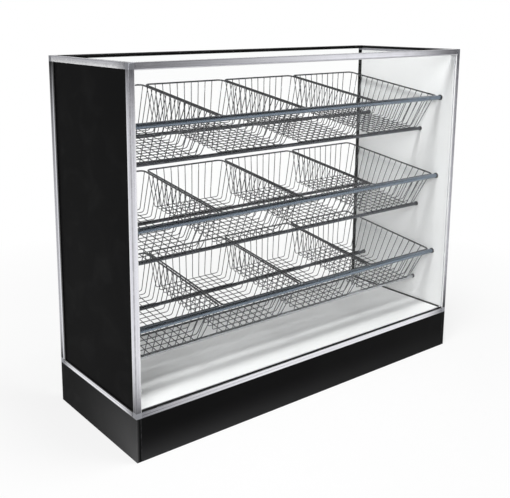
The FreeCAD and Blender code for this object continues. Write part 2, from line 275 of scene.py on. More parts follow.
class NodeSheet:
    """A node tree with short ways to add nodes and to feed their inputs."""

    def __init__(self, tree: bpy.types.NodeTree, fresh: bool = True) -> None:
        """Take a tree, and empty it if it is to be fresh."""
        self.tree = tree
        if fresh:
            tree.nodes.clear()

    def add(self, kind: str, feeds: Optional[Dict[Union[str, int], Feed]] = None, **settings: object) -> Node:
        """Add one node.

        Args:
            kind: Blender's name for the node.
            feeds: A value or an output for each named or numbered input.
            settings: Values of the node's own properties.

        Returns:
            The new node.
        """
        node = self.tree.nodes.new(kind)
        for name, value in settings.items():
            setattr(node, name, value)
        for name, value in (feeds or {}).items():
            if isinstance(value, Socket):
                self.tree.links.new(value, node.inputs[name])
            else:
                node.inputs[name].default_value = value
        return node

    def place(self) -> Socket:
        """Place of a surface point on the piece."""
        return self.add("ShaderNodeTexCoord").outputs["Object"]

    def parts(self, vector: Socket) -> Sequence[Socket]:
        """The three parts of a vector."""
        return self.add("ShaderNodeSeparateXYZ", {0: vector}).outputs

    def maths(self, operation: str, *terms: Feed) -> Socket:
        """Result of one sum on values."""
        return self.add("ShaderNodeMath", dict(enumerate(terms)), operation=operation).outputs[0]

    def vectors(self, operation: str, *terms: Feed) -> Socket:
        """Vector that comes of one sum on vectors."""
        return self.add("ShaderNodeVectorMath", dict(enumerate(terms)), operation=operation).outputs[0]

    def measure(self, operation: str, *terms: Feed) -> Socket:
        """Value that comes of one sum on vectors."""
        return self.add("ShaderNodeVectorMath", dict(enumerate(terms)), operation=operation).outputs["Value"]

    def ranged(self, value: Socket, to_start: Feed = 0.0, to_end: Feed = 1.0, start: float = 0.0,
               end: float = 1.0) -> Socket:
        """Value moved to a range from another, and held within it."""
        feeds = {"Value": value, "From Min": start, "From Max": end, "To Min": to_start, "To Max": to_end}
        return self.add("ShaderNodeMapRange", feeds).outputs[0]

    def greatest(self, *terms: Socket) -> Socket:
        """Greatest of some values."""
        return reduce(partial(self.maths, "MAXIMUM"), terms)

    def noise(self, place: Socket, scale: Feed, detail: float, distortion: float = 0.0) -> Socket:
        """Cloudy value between about 0.3 and 0.7."""
        feeds = {"Vector": place, "Scale": scale, "Detail": detail, "Distortion": distortion}
        return self.add("ShaderNodeTexNoise", feeds).outputs[0]

    def blend(self, share: Socket, colour_a: Feed, colour_b: Feed) -> Socket:
        """Colour between two colours."""
        return self.add("ShaderNodeMix", {0: share, 6: colour_a, 7: colour_b}, data_type="RGBA").outputs[2]

    def varied(self, share: Socket, colour: Colour, contrast: float) -> Socket:
        """Colour that is darker by the contrast where a share is 0, and lighter where it is 1."""
        return self.blend(share, tinted(colour, 1 - contrast), tinted(colour, 1 + contrast))

    def relief(self, height: Socket, strength: float, depth: float) -> Socket:
        """Normal of a surface with a fine relief."""
        feeds = {"Strength": strength, "Distance": depth, "Height": height}
        return self.add("ShaderNodeBump", feeds).outputs[0]

    def mixed(self, share: Socket, first: Node, second: Node) -> Socket:
        """Surface that goes from one shader to another as a share goes from 0 to 1."""
        feeds = {0: share, 1: first.outputs[0], 2: second.outputs[0]}
        return self.add("ShaderNodeMixShader", feeds).outputs[0]

    def show(self, surface: Socket) -> None:
        """Make a surface the one that the material shows."""
        self.tree.links.new(surface, self.tree.get_output_node("ALL").inputs["Surface"])


@dataclass(frozen=True)
class Effect:
    """A shader node group that several finishes share.

    Attributes:
        name: Name of the group.
        inputs: First value of each named input.
        wiring: Function that adds the nodes, and gives the value for each named output.
    """

    name: str
    inputs: Dict[str, Union[float, Point]]
    wiring: Callable[[NodeSheet, Sockets], Sockets]

    def tree(self) -> bpy.types.NodeTree:
        """The group's node tree, built the first time that it is asked for.

        Returns:
            The tree.
        """
        if self.name in bpy.data.node_groups:
            return bpy.data.node_groups[self.name]
        tree = bpy.data.node_groups.new(self.name, "ShaderNodeTree")
        for name, value in self.inputs.items():
            kind = SocketKind.VALUE if isinstance(value, float) else SocketKind.VECTOR
            tree.interface.new_socket(name, in_out="INPUT", socket_type=kind.value).default_value = value
        sheet = NodeSheet(tree)
        given = sheet.add("NodeGroupInput").outputs
        made = self.wiring(sheet, {name: given[name] for name in self.inputs})
        for name in made:
            tree.interface.new_socket(name, in_out="OUTPUT", socket_type=SocketKind.VALUE.value)
        sheet.add("NodeGroupOutput", made)
        return tree

    def on(self, sheet: NodeSheet, **feeds: Feed) -> Sockets:
        """Place the group in a material, with a value or an output for each input."""
        return sheet.add("ShaderNodeGroup", feeds, node_tree=self.tree()).outputs


def wire_mottle(sheet: NodeSheet, given: Sockets) -> Sockets:
    """Slow cloudiness of a sheet or coating."""
    cloud = sheet.noise(given["Place"], given["Scale"], detail=4.0)
    return {"Shade": sheet.ranged(cloud, start=0.32, end=0.68)}


def wire_streaks(sheet: NodeSheet, given: Sockets) -> Sockets:
    """Bands and fine lines along the way that a metal was drawn: noise stretched along one axis.

    Args:
        sheet: Nodes of the group.
        given: The group's inputs.

    Returns:
        The sockets for its outputs.
    """
    drawn = sheet.vectors("MULTIPLY", given["Place"], given["Stretch"])
    band = sheet.noise(drawn, given["Bands"], detail=2.0)
    line = sheet.noise(drawn, given["Lines"], detail=3.0)
    return {"Band": sheet.ranged(band, start=0.3, end=0.7), "Line": sheet.ranged(line, start=0.3, end=0.7)}


def wire_pitting(sheet: NodeSheet, given: Sockets) -> Sockets:
    """Fine pebbled relief: the distance to the nearest of many scattered points."""
    cells = sheet.add("ShaderNodeTexVoronoi", {"Vector": given["Place"], "Scale": given["Scale"]})
    return {"Height": cells.outputs["Distance"]}


def wire_edges(sheet: NodeSheet, given: Sockets) -> Sockets:
    """Edges of a bar or board: where the second smallest distance to its faces is under a width.

    Args:
        sheet: Nodes of the group.
        given: The group's inputs.

    Returns:
        The sockets for its outputs.
    """
    offset = sheet.vectors("ABSOLUTE", sheet.vectors("SUBTRACT", given["Place"], given["Centre"]))
    depth = sheet.parts(sheet.vectors("SUBTRACT", given["Half"], offset))
    least = sheet.maths("MINIMUM", depth[0], depth[1])
    most = sheet.maths("MAXIMUM", depth[0], depth[1])
    second = sheet.maths("MAXIMUM", least, sheet.maths("MINIMUM", most, depth[2]))
    near = sheet.ranged(sheet.maths("DIVIDE", second, given["Width"]), 1.0, 0.0)
    chips = sheet.noise(given["Place"], scale=60.0, detail=5.0)
    lost = sheet.ranged(chips, start=0.36, end=0.6, to_start=0.85, to_end=0.0)
    kept = sheet.maths("SUBTRACT", 1.0, sheet.maths("MULTIPLY", lost, given["Broken"]))
    return {"Mask": sheet.maths("MULTIPLY", near, kept)}


def wire_smudges(sheet: NodeSheet, given: Sockets) -> Sockets:
    """Patches left by hands and cloths: the high parts of a stirred noise."""
    cloud = sheet.noise(given["Place"], given["Scale"], detail=5.0, distortion=0.8)
    return {"Mask": sheet.ranged(cloud, start=0.5, end=0.72)}


def wire_light_falloff(sheet: NodeSheet, given: Sockets) -> Sockets:
    """Mask that fades from a foot point, used for painted sheen and painted shade: (1 - d)², d being the
    distance with each axis divided by its reach.

    Args:
        sheet: Nodes of the group.
        given: The group's inputs.

    Returns:
        The sockets for its outputs.
    """
    away = sheet.vectors("DIVIDE", sheet.vectors("SUBTRACT", given["Place"], given["Foot"]), given["Reach"])
    left = sheet.ranged(sheet.measure("LENGTH", away), 1.0, 0.0)
    return {"Mask": sheet.maths("POWER", left, 2.0)}


def wire_side(sheet: NodeSheet, given: Sockets) -> Sockets:
    """One side of a piece: where a point's distance along a way, less a level, is over 0."""
    along = sheet.measure("DOT_PRODUCT", given["Place"], given["Way"])
    return {"Mask": sheet.ranged(sheet.maths("SUBTRACT", along, given["Level"]), start=-FADE, end=FADE)}


ZERO, ONE = (0.0, 0.0, 0.0), (1.0, 1.0, 1.0)
# Half the distance over which the mask of a side goes from 0 to 1
FADE = 0.0003
MOTTLE = Effect("slow mottle", {"Place": ZERO, "Scale": 4.0}, wire_mottle)
STREAKS = Effect(
    "drawn streaks", {"Place": ZERO, "Stretch": ONE, "Bands": 70.0, "Lines": 900.0}, wire_streaks)
PITTING = Effect("fine pitting", {"Place": ZERO, "Scale": 900.0}, wire_pitting)
# Mask along the edges of a board or bar: rubbing on the white boards, painted highlight on the plinth and the
# aluminium, painted shade on the panels and along the front posts' arris, darker lines on the top rails
EDGES = Effect(
    "edge lines", {"Place": ZERO, "Centre": ZERO, "Half": ONE, "Width": 0.002, "Broken": 1.0}, wire_edges)
SMUDGES = Effect("hand smudges", {"Place": ZERO, "Scale": 6.0}, wire_smudges)
# Mask that fades from a point: it paints sheen on the plinth boards and shade at the ends of frame members
LIGHT_FALLOFF = Effect("painted light falloff", {"Place": ZERO, "Foot": ZERO, "Reach": ONE}, wire_light_falloff)
SIDE = Effect("one side", {"Place": ZERO, "Way": ZERO, "Level": 0.0}, wire_side)


# Finishes

# How metallic bare metal and a painted surface are
BARE, PAINTED = 1.0, 0.0
# How far the line along a bar's edge is broken up
BAR_BREAKS = 0.3
# Scale along the drawn or grown way, which makes streaks and growth rings long
DRAWN_SCALE, GROWN_SCALE = 0.01, 0.06
# Roughness that hands add to metal
SMUDGE_ROUGHNESS = 0.06
# Share by which a moulded or cast surface darkens and lightens
MOULD_CONTRAST = 0.15


def start_material(name: str, **constants: Feed) -> Tuple[Material, NodeSheet, Node]:
    """Start a material with one surface shader.

    Args:
        name: Name of the material.
        constants: Values of the shader's sockets that are the same all over, with _ for a space.

    Returns:
        The material, its nodes, and its Principled shader.
    """
    material = bpy.data.materials.new(name)
    material.use_nodes = True
    sheet = NodeSheet(material.node_tree)
    values = {socket.replace("_", " "): value for socket, value in constants.items()}
    shader = sheet.add("ShaderNodeBsdfPrincipled", values)
    sheet.add("ShaderNodeOutputMaterial", {"Surface": shader.outputs[0]})
    return material, sheet, shader


def give(sheet: NodeSheet, shader: Node, feeds: Sockets) -> None:
    """Wire outputs to a shader's inputs by name."""
    for name, output in feeds.items():
        sheet.tree.links.new(output, shader.inputs[name])


def paint_over(material: Material, effect: Effect, colour: Colour, metallic: Optional[float] = None,
               **feeds: Feed) -> None:
    """Give part of a finished material another colour.

    Args:
        material: The material.
        effect: Effect whose mask says where.
        colour: Colour where the mask is 1.
        metallic: How metallic it is there, if that changes too.
        feeds: Values of the effect's inputs, apart from the place.
    """
    sheet = NodeSheet(material.node_tree, fresh=False)
    shader = sheet.tree.nodes["Principled BSDF"]
    plain = shader.inputs["Base Color"].links[0].from_socket
    mask = effect.on(sheet, Place=sheet.place(), **feeds)["Mask"]
    give(sheet, shader, {"Base Color": sheet.blend(mask, plain, tinted(colour))})
    if metallic is not None:
        before = shader.inputs["Metallic"].default_value
        give(sheet, shader, {"Metallic": sheet.ranged(mask, before, metallic)})


@dataclass(frozen=True)
class BoardFinish:
    """Laminate on a board: a mottled colour, a pitted surface, a colour along its edges and, on the plinth, a
    painted sheen.

    Attributes:
        name: Name of the material.
        colour: Colour of the laminate.
        edge_wear_and_shading: Colour along its edges: rubbing on the white boards, a painted highlight on the
            plinth boards and a painted shade border on the panels.
        roughness: Roughness where it is untouched, and where it was touched most.
        shine: Specular level.
        contrast: Share by which the mottle darkens and lightens.
        edge_width: Width of the rubbed edges.
        painted_sheen: Colour of a painted sheen that fades from the lowest outer front corner, if the board
            has one.
        reach: Distance along each axis over which that colour fades.
    """

    name: str
    colour: Colour
    edge_wear_and_shading: Colour
    roughness: Tuple[float, float]
    shine: float
    contrast: float = 0.15
    edge_width: float = 0.0025
    painted_sheen: Optional[Colour] = None
    reach: Point = ONE

    def material(self, low: Vector, high: Vector) -> Material:
        """Make the finish for one board.

        Args:
            low: The board's lowest corner.
            high: The board's highest corner.

        Returns:
            The material.
        """
        material, sheet, shader = start_material(self.name, Specular_IOR_Level=self.shine)
        place = sheet.place()
        shade = MOTTLE.on(sheet, Place=place, Scale=5.0)["Shade"]
        # Edge colour: rubbing on the white boards, painted highlight on the plinth, painted shade on the
        # panels
        edge = EDGES.on(sheet, Place=place, Centre=(low + high) / 2, Half=(high - low) / 2,
                        Width=self.edge_width)["Mask"]
        touched = SMUDGES.on(sheet, Place=place, Scale=9.0)["Mask"]
        height = PITTING.on(sheet, Place=place, Scale=1400.0)["Height"]
        plain = sheet.varied(shade, self.colour, self.contrast)
        give(sheet, shader, {"Base Color": sheet.blend(edge, plain, tinted(self.edge_wear_and_shading)),
                             "Roughness": sheet.ranged(touched, *self.roughness),
                             "Normal": sheet.relief(height, strength=0.12, depth=0.0002)})
        # Painted sheen, lighter towards the lowest outer front corner
        if self.painted_sheen:
            foot = (low.x if low.x < 0 else high.x, low.y, low.z)
            paint_over(material, LIGHT_FALLOFF, self.painted_sheen, Foot=foot, Reach=self.reach)
        return material


@dataclass(frozen=True)
class DrawnMetal:
    """Metal with bands and fine lines along one axis, as on an extrusion, a tube or a wire.

    Attributes:
        name: Name of the material.
        colour: Colour of the metal.
        roughness: Least and greatest roughness.
        contrast: Share by which the bands darken and lighten.
        metallic: How much of the surface is bare metal.
        bands: Scale of the bands across the piece.
        shine: Specular level where it isn't bare metal.
        edge: Colour of a bar's long edges, if it differs.
        edge_width: Width of the line along an edge.
    """

    name: str
    colour: Colour
    roughness: Tuple[float, float]
    contrast: float = 0.1
    metallic: float = BARE
    bands: float = 200.0
    shine: float = 0.5
    edge: Optional[Colour] = None
    edge_width: float = 0.004

    def material(self, axis: Axis) -> Material:
        """Make the finish for pieces drawn along one axis.

        Args:
            axis: The way that they were drawn.

        Returns:
            The material.
        """
        material, sheet, shader = start_material(f"{self.name} {axis.name}", Metallic=self.metallic,
                                                 Specular_IOR_Level=self.shine)
        place = sheet.place()
        streaks = STREAKS.on(sheet, Place=place, Stretch=axis.vector(DRAWN_SCALE, 1.0), Bands=self.bands)
        touched = SMUDGES.on(sheet, Place=place, Scale=14.0)["Mask"]
        rough = sheet.maths("ADD", sheet.ranged(streaks["Line"], *self.roughness),
                            sheet.maths("MULTIPLY", touched, SMUDGE_ROUGHNESS))
        give(sheet, shader, {"Base Color": sheet.varied(streaks["Band"], self.colour, self.contrast),
                             "Roughness": rough,
                             "Normal": sheet.relief(streaks["Line"], strength=0.06, depth=0.0001)})
        return material

    def bar(self, axis: Axis, low: Vector, high: Vector) -> Material:
        """Make the finish for one bar.

        Args:
            axis: The way that it was extruded.
            low: The bar's lowest corner.
            high: The bar's highest corner.

        Returns:
            The material.
        """
        material = self.material(axis)
        if self.edge:
            paint_over(material, EDGES, self.edge, Centre=(low + high) / 2, Half=(high - low) / 2,
                       Width=self.edge_width, Broken=BAR_BREAKS)
        return material


@dataclass(frozen=True)
class MouldedFinish:
    """Cast, moulded or coated surface: a mottled colour and a pitted relief.

    Attributes:
        name: Name of the material.
        colour: Colour of the stuff.
        roughness: Least and greatest roughness.
        metallic: How metallic it is.
        pits: Scale of the relief.
    """

    name: str
    colour: Colour
    roughness: Tuple[float, float]
    metallic: float = PAINTED
    pits: float = 900.0

    def material(self) -> Material:
        """Make the finish.

        Returns:
            The material.
        """
        material, sheet, shader = start_material(self.name, Metallic=self.metallic, Specular_IOR_Level=0.3)
        place = sheet.place()
        shade = MOTTLE.on(sheet, Place=place, Scale=30.0)["Shade"]
        height = PITTING.on(sheet, Place=place, Scale=self.pits)["Height"]
        give(sheet, shader, {"Base Color": sheet.varied(shade, self.colour, MOULD_CONTRAST),
                             "Roughness": sheet.ranged(shade, *self.roughness),
                             "Normal": sheet.relief(height, strength=0.15, depth=0.0002)})
        return material


@dataclass(frozen=True)
class SawnTimber:
    """Bare softwood with growth rings, pale in the early wood and darker in the late wood, and saw marks."""

    name: str
    early: Colour
    late: Colour
    roughness: Tuple[float, float]

    def material(self, axis: Axis) -> Material:
        """Make the finish for timber sawn along one axis.

        Args:
            axis: The way that the grain runs.

        Returns:
            The material.
        """
        material, sheet, shader = start_material(f"{self.name} {axis.name}", Specular_IOR_Level=0.25)
        place = sheet.place()
        stretch = axis.vector(GROWN_SCALE, 1.0)
        streaks = STREAKS.on(sheet, Place=place, Stretch=stretch, Bands=90.0, Lines=700.0)
        grown = {"Vector": sheet.vectors("MULTIPLY", place, stretch), "Scale": 40.0, "Distortion": 5.0,
                 "Detail": 3.0}
        rings = sheet.add("ShaderNodeTexWave", grown, wave_type="RINGS", rings_direction=axis.name)
        share = sheet.maths("MULTIPLY", rings.outputs[1], sheet.ranged(streaks["Band"], 0.5, 1.0))
        give(sheet, shader, {"Base Color": sheet.blend(share, tinted(self.early), tinted(self.late)),
                             "Roughness": sheet.ranged(streaks["Line"], *self.roughness),
                             "Normal": sheet.relief(streaks["Line"], strength=0.3, depth=0.0004)})
        return material


@dataclass(frozen=True)
class ClearGlass:
    """Float glass with faint hand smudges, which lets lamplight through to what stands behind it.

    Attributes:
        name: Name of the material.
        tint: Colour of the glass.
        film: Greatest roughness, where it was touched.
        ior: Refractive index, under plain glass's where a coating takes most of the reflection away.
        clear: Whether the camera looks through it without any reflection.
    """

    name: str
    tint: Colour
    film: float
    ior: float
    clear: bool

    def material(self) -> Material:
        """Make the finish.

        Returns:
            The material.
        """
        material, sheet, shader = start_material(
            self.name, Base_Color=tinted(self.tint), Transmission_Weight=1.0, IOR=self.ior)
        touched = SMUDGES.on(sheet, Place=sheet.place(), Scale=5.0)["Mask"]
        give(sheet, shader, {"Roughness": sheet.ranged(touched, 0.0, self.film)})
        path = sheet.add("ShaderNodeLightPath").outputs
        kinds = ("Is Shadow Ray", "Is Diffuse Ray") + (("Is Camera Ray",) if self.clear else ())
        straight = sheet.greatest(*(path[kind] for kind in kinds))
        through = sheet.add("ShaderNodeBsdfTransparent", {"Color": tinted(self.tint)})
        sheet.show(sheet.mixed(straight, shader, through))
        return material


# The panels' edge colour is a painted shade border, 16 mm wide
BLACK_PANEL = BoardFinish(
    "matt black panel", colour=(0.0032, 0.0032, 0.0034), edge_wear_and_shading=(0.001, 0.001, 0.001), roughness=(0.66, 0.56),
    shine=0.04, edge_width=0.016)
# On the plinth the lighter edge colour is a painted highlight, and the corner colour is a painted sheen that
# fades from the lowest outer front corner
PLINTH_LONG = BoardFinish(
    "satin black plinth front", colour=(0.004, 0.004, 0.0042), edge_wear_and_shading=(0.03, 0.03, 0.032),
    roughness=(0.46, 0.38), shine=0.03, painted_sheen=(0.035, 0.035, 0.036), reach=(3.0, 10.0, 0.1))
# The end boards copy the front laminate with a stronger painted sheen and a lighter painted edge highlight
PLINTH_END = replace(
    PLINTH_LONG, name="satin black plinth end", edge_wear_and_shading=(0.06, 0.06, 0.062), shine=0.02,
    painted_sheen=(0.095, 0.095, 0.096), reach=(0.012, 0.5, 0.4))
WHITE_BOARD = BoardFinish(
    "white melamine", colour=(0.86, 0.86, 0.86), edge_wear_and_shading=(0.72, 0.72, 0.72), roughness=(0.45, 0.36), shine=0.3,
    contrast=0.012)
# The lighter edge colour is a painted highlight along a bar's long edges
ALUMINIUM = DrawnMetal(
    "satin aluminium", (0.64, 0.64, 0.69), roughness=(0.22, 0.32), contrast=0.18, bands=150.0,
    edge=(0.9, 0.9, 0.92))
# Lighter copy of the aluminium: painted light on the top front rail, with darker lines along its edges
LIT_TOP_ALUMINIUM = replace(
    ALUMINIUM, name="top rail aluminium", colour=(0.81, 0.81, 0.86), roughness=(0.08, 0.14), contrast=0.1,
    edge=(0.45, 0.45, 0.5))
# Lighter copy: painted reflection of the pale floor on the bottom rails
LIT_FOOT_ALUMINIUM = replace(ALUMINIUM, name="bottom rail aluminium", colour=(0.84, 0.84, 0.88), contrast=0.1)
# Lighter copy: painted light on the front posts
LIT_POST_ALUMINIUM = replace(ALUMINIUM, name="front post aluminium", colour=(0.8, 0.8, 0.85))
# Darker copy: painted shade on the top side rails, with darker lines along their edges
SHADED_SIDE_ALUMINIUM = replace(
    ALUMINIUM, name="top side rail aluminium", colour=(0.5, 0.5, 0.54), edge=(0.42, 0.42, 0.46))
BLACK_METAL = DrawnMetal(
    "black anodised metal", (0.003, 0.003, 0.003), roughness=(0.45, 0.55), contrast=0.2, metallic=PAINTED,
    bands=70.0, shine=0.03)
RAIL_CHROME = DrawnMetal("blued rail chrome", (0.18, 0.22, 0.27), roughness=(0.06, 0.14))
# Darker chrome: painted shade on the support tubes
SHADED_TUBE_CHROME = DrawnMetal("support chrome", (0.1, 0.106, 0.12), roughness=(0.12, 0.22))
# Lighter copy of the support chrome: painted reflection of the white deck on the lowest front support
LIT_TUBE_CHROME = DrawnMetal("bright support chrome", (0.5, 0.51, 0.53), roughness=(0.1, 0.18))
SCREW_STEEL = DrawnMetal("plated screws", (0.55, 0.55, 0.55), roughness=(0.25, 0.4), bands=400.0)
WIRE_PLATE = DrawnMetal(
    "plated basket wire", (0.13, 0.134, 0.142), roughness=(0.14, 0.26), contrast=0.12, bands=120.0)
CAST_CORNER = MouldedFinish(
    "cast corner metal", (0.3, 0.305, 0.33), roughness=(0.38, 0.5), metallic=BARE, pits=1200.0)
BLACK_VINYL = MouldedFinish("black vinyl", (0.007, 0.007, 0.007), roughness=(0.6, 0.75))
FRONT_VINYL = replace(BLACK_VINYL, name="front gasket vinyl")
SOCKET_PLASTIC = MouldedFinish("dark socket plastic", (0.03, 0.03, 0.033), roughness=(0.4, 0.55))
TIMBER = SawnTimber(
    "bare softwood", early=(0.62, 0.46, 0.29), late=(0.42, 0.27, 0.14), roughness=(0.6, 0.8))
FRONT_GLASS = ClearGlass(
    "coated front glass", tint=(0.985, 0.99, 0.988), film=0.02, ior=1.18, clear=False)
TOP_GLASS = replace(FRONT_GLASS, name="clear top glass", ior=1.45, clear=True)


# Sub-assemblies


@dataclass
class Plinth:
    """Boarded base: four boards with eased edges, and the timber inside that carries the deck.

    Attributes:
        ease: Radius of the boards' edges.
        ease_steps: Grid steps over half a rounded edge.
    """

    ease: float = 0.0008
    ease_steps: int = 2

    def board(self, node: str, finish: BoardFinish) -> None:
        """Build one board in the place of its CAD node.

        Args:
            node: Name of the CAD node.
            finish: The board's laminate.
        """
        low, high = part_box(node)
        patch = eased_board(low, high, self.ease, self.ease_steps)
        piece = piece_from(f"{node}_board", patch, finish.material(low, high), smooth=False)
        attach(piece, CASE_BODY)
        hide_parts(node)

    def build(self) -> None:
        """Build the boards."""
        for finish, nodes in ((PLINTH_LONG, ("plinth_front", "plinth_rear")),
                              (PLINTH_END, ("plinth_left", "plinth_right"))):
            for node in nodes:
                self.board(node, finish)

    def dress(self) -> None:
        """Finish the timber inside."""
        dress(["plinth_battens"], TIMBER.material(Axis.X))
        dress(["plinth_braces"], TIMBER.material(Axis.Y))
        dress(["plinth_glue_blocks"], TIMBER.material(Axis.Z))


@dataclass(frozen=True)
class EndShade:
    """Painted shade at one end of a member: its colour there, and the length over which it fades."""

    colour: Colour
    reach: float


@dataclass
class Member:
    """One straight member of the frame, whose ends, faces and outer arris can be finished on their own.

    Attributes:
        node: Name of its CAD node.
        finish: Its metal.
        axis: The way that it was extruded.
        block: Half size of a block that is longer than any member.
    """

    node: str
    finish: DrawnMetal
    axis: Axis
    block: float = 1.0

    def __post_init__(self) -> None:
        """Take the member's box, find which of its sides face out of the case and into it, and dress it."""
        self.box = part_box(self.node)
        self.outer, self.inner = (End.HIGH, End.LOW) if self.box[0].x > 0 else (End.LOW, End.HIGH)
        self.material = self.finish.bar(self.axis, *self.box)
        dress([self.node], self.material)

    def corner(self) -> List[float]:
        """The lowest outer front corner."""
        return [self.box[self.outer.value].x, *self.box[0].yz]

    def shade_end(self, end: End, mark: EndShade) -> None:
        """Paint shade at one end of the member.

        Args:
            end: The end.
            mark: The painted shade there.
        """
        foot = self.corner()
        foot[self.axis.value] = self.box[end.value][self.axis.value]
        paint_over(self.material, LIGHT_FALLOFF, mark.colour, Foot=foot, Reach=self.axis.vector(mark.reach, 1.0))

    def face(self, axis: Axis, end: End, depth: float, colour: Colour, metallic: float) -> None:
        """Give the outermost layer on one side another colour.

        Args:
            axis: Axis that the side is square to.
            end: End of that axis.
            depth: Depth of the layer.
            colour: Its colour.
            metallic: How metallic it is.
        """
        level = end.sign() * self.box[end.value][axis.value] - depth
        paint_over(self.material, SIDE, colour, metallic, Way=axis.vector(end.sign(), 0.0), Level=level)

    def arris(self, width: float, colour: Colour, metallic: Optional[float] = None) -> None:
        """Give the lowest outer front arris another colour.

        It is the only edge of the member that is also an edge of the block from the same corner inwards.

        Args:
            width: Width of the line on each face.
            colour: Colour of the line.
            metallic: How metallic it is, if that changes too.
        """
        inward = (-self.outer.sign(), 1, 1)
        centre = [place + step * self.block for place, step in zip(self.corner(), inward)]
        centre[self.axis.value] = sum(corner[self.axis.value] for corner in self.box) / 2
        paint_over(self.material, EDGES, colour, metallic, Centre=centre, Half=[self.block] * 3, Width=width,
                   Broken=BAR_BREAKS)


@dataclass(frozen=True)
class PostShade:
    """Painted shade on the front post on one side: along its arris on both outer faces, and at its foot."""

    side: str
    arris_width: float
    foot: EndShade


@dataclass
class FrameWork:
    """Aluminium frame with its cast corners, and the black members round the open back.

    Attributes:
        posts: The front posts, one for each side.
        face_depth: Depth of a layer that covers one face and no more.
        bare: Colour of the bare outer face of a black post.
        white: Colour of a front post's face inside the case, and of the painted highlight along a top side
            rail's lower edge.
        black: Colour of the lips along the panels.
        arris: Colour of the painted shade line where a front post's two outer faces meet.
        post_head, rail_head: Painted shade at a front post's top and at a top side rail's front end.
        rail_foot, sill_ends: Painted shade at the ends of a bottom side rail and of the bottom front rail.
        rear_head, rear_foot: Painted shade, down to black, on a rear post's bare face at its top and at its
            foot.
        trim_head: Painted shade, down to black, at the top of a rear trim.
        lip, foot_lip: Width of the black lip of a rear trim and of a bottom side rail.
    """

    # Painted shade along each front post's arris and at its foot
    posts: Tuple[PostShade, ...] = (PostShade("left", 0.006, EndShade((0.12, 0.12, 0.13), 0.2)),
                                   PostShade("right", 0.022, EndShade((0.04, 0.04, 0.045), 0.32)))
    face_depth: float = 0.0015
    bare: Colour = (0.55, 0.55, 0.58)
    white: Colour = (0.86, 0.86, 0.86)
    black: Colour = (0.003, 0.003, 0.003)
    arris: Colour = (0.3, 0.3, 0.33)
    # Painted shade at the ends of members
    post_head: EndShade = EndShade((0.25, 0.25, 0.27), 0.2)
    rail_head: EndShade = EndShade((0.25, 0.25, 0.27), 0.1)
    rail_foot: EndShade = EndShade((0.14, 0.14, 0.155), 0.1)
    sill_ends: Tuple[EndShade, EndShade] = (EndShade((0.22, 0.22, 0.24), 0.6), EndShade((0.22, 0.22, 0.24), 0.16))
    rear_head: EndShade = EndShade((0.003, 0.003, 0.003), 0.6)
    rear_foot: EndShade = EndShade((0.003, 0.003, 0.003), 0.15)
    trim_head: EndShade = EndShade((0.003, 0.003, 0.003), 0.2)
    lip: float = 0.008
    foot_lip: float = 0.004

    def dress_front(self, post_shade: PostShade) -> None:
        """Finish one front post, with painted shade along its arris and at its ends, and white on its face
        inside the case.

        Args:
            post_shade: The painted shade on the post.
        """
        post = Member(f"front_post_{post_shade.side}", LIT_POST_ALUMINIUM, Axis.Z)
        # Painted shade along the outer arris, at the foot and at the top
        post.arris(post_shade.arris_width, self.arris)
        post.shade_end(End.LOW, post_shade.foot)
        post.shade_end(End.HIGH, self.post_head)
        post.face(Axis.X, post.inner, self.face_depth, self.white, PAINTED)

    def dress_side(self, side: str) -> None:
        """Finish one end's rails: the top one with a painted highlight along its lower edge and painted shade
        at its front end, the other black along its panel with painted shade at its ends.

        Args:
            side: Name of the side.
        """
        top = Member(f"top_rail_{side}", SHADED_SIDE_ALUMINIUM, Axis.Y)
        low, high = top.box
        # Painted highlight along the lower outer edge
        top.arris(high.z - low.z, self.white, PAINTED)
        # Painted shade at the front end
        top.shade_end(End.LOW, self.rail_head)
        bottom = Member(f"bottom_rail_{side}", LIT_FOOT_ALUMINIUM, Axis.Y)
        # Painted shade at both ends
        for end in End:
            bottom.shade_end(end, self.rail_foot)
        bottom.face(Axis.Z, End.HIGH, self.foot_lip, self.black, PAINTED)

    def dress_rear(self, side: str) -> None:
        """Finish one rear post, bare on its outer face with painted shade towards its top and foot, and the
        trim beside it, black along its panel with painted shade at its top.

        Args:
            side: Name of the side.
        """
        post = Member(f"rear_post_{side}", BLACK_METAL, Axis.Z)
        post.face(Axis.X, post.outer, self.face_depth, self.bare, BARE)
        # Painted shade, down to black, towards the top and the foot
        post.shade_end(End.HIGH, self.rear_head)
        post.shade_end(End.LOW, self.rear_foot)
        trim = Member(f"rear_trim_{side}", ALUMINIUM, Axis.Z)
        # Painted shade, down to black, at the top
        trim.shade_end(End.HIGH, self.trim_head)
        trim.face(Axis.Y, End.LOW, self.lip, self.black, PAINTED)

    def dress(self) -> None:
        """Finish every member."""
        dress(["top_rail_front"], LIT_TOP_ALUMINIUM.bar(Axis.X, *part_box("top_rail_front")))
        dress(["rear_header", "rear_sill"], BLACK_METAL.material(Axis.X))
        sill = Member("bottom_rail_front", LIT_FOOT_ALUMINIUM, Axis.X)
        # Painted shade at both ends of the bottom front rail
        for end, mark in zip(End, self.sill_ends):
            sill.shade_end(end, mark)
        for post_shade in self.posts:
            self.dress_front(post_shade)
            self.dress_side(post_shade.side)
            self.dress_rear(post_shade.side)
        dress(["front_corner_blocks", "rear_corner_blocks"], CAST_CORNER.material())


